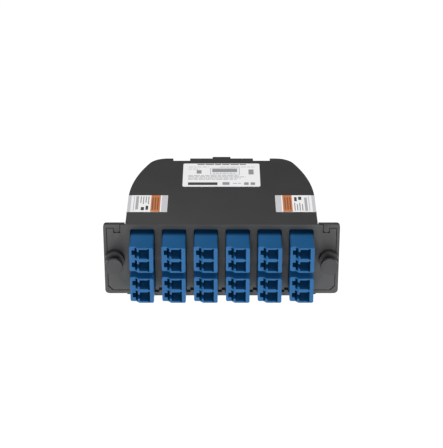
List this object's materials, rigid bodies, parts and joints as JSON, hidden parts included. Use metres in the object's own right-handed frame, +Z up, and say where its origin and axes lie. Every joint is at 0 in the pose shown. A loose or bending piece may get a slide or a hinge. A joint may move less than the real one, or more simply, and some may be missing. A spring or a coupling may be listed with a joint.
{
  "type": "fibre cassette",
  "caption": "Slim dark cassette for fibre patch frames: blue duplex adapters across the face, two push-in fasteners on its ears and a bowed, closed housing behind.",
  "frame": {"origin": "middle of the bounding box, on the flat underside", "axes": "+X to the right as seen from the face, +Y towards the back, away from the ports, +Z up"},
  "size_m": [0.1084, 0.0912, 0.0371],
  "materials": {
    "housing": "fine moulded texture, dark grey",
    "adapter": "satin blue",
    "ceramic": "polished white ceramic",
    "plug": "satin blue",
    "fastener": "satin black nylon",
    "socket": "satin black",
    "fibre": "smooth aqua jacket",
    "label": "printed film"
  },
  "bodies": {
    "cassette": {"alignment_sleeves_lower_1": "ceramic", "alignment_sleeves_lower_2": "ceramic", "alignment_sleeves_lower_3": "ceramic", "alignment_sleeves_lower_4": "ceramic", "alignment_sleeves_lower_5": "ceramic", "alignment_sleeves_lower_6": "ceramic", "alignment_sleeves_upper_1": "ceramic", "alignment_sleeves_upper_2": "ceramic", "alignment_sleeves_upper_3": "ceramic", "alignment_sleeves_upper_4": "ceramic", "alignment_sleeves_upper_5": "ceramic", "alignment_sleeves_upper_6": "ceramic", "base_tray": "housing", "cover": "housing", "fan_out_left": "socket", "fan_out_right": "socket", "fibre_coil_left": "fibre", "fibre_coil_right": "fibre", "grommet_left": "fastener", "grommet_right": "fastener", "inner_plugs_lower_1": "plug", "inner_plugs_lower_2": "plug", "inner_plugs_lower_3": "plug", "inner_plugs_lower_4": "plug", "inner_plugs_lower_5": "plug", "inner_plugs_lower_6": "plug", "inner_plugs_upper_1": "plug", "inner_plugs_upper_2": "plug", "inner_plugs_upper_3": "plug", "inner_plugs_upper_4": "plug", "inner_plugs_upper_5": "plug", "inner_plugs_upper_6": "plug", "lc_adapter_lower_1": "adapter", "lc_adapter_lower_2": "adapter", "lc_adapter_lower_3": "adapter", "lc_adapter_lower_4": "adapter", "lc_adapter_lower_5": "adapter", "lc_adapter_lower_6": "adapter", "lc_adapter_upper_1": "adapter", "lc_adapter_upper_2": "adapter", "lc_adapter_upper_3": "adapter", "lc_adapter_upper_4": "adapter", "lc_adapter_upper_5": "adapter", "lc_adapter_upper_6": "adapter", "main_label": "label", "rear_plug_left": "plug", "rear_plug_right": "plug", "rear_socket_left": "socket", "rear_socket_right": "socket", "side_seal_left": "label", "side_seal_right": "label"},
    "left_plunger": {"plunger_left": "fastener"},
    "right_plunger": {"plunger_right": "fastener"}
  },
  "joints": [
    {"name": "left_plunger_slide", "type": "slide", "parent": "cassette", "child": "left_plunger", "axis": [0, 1, 0], "range_m": [0, 0.0039]},
    {"name": "right_plunger_slide", "type": "slide", "parent": "cassette", "child": "right_plunger", "axis": [0, 1, 0], "range_m": [0, 0.0039]}
  ]
}
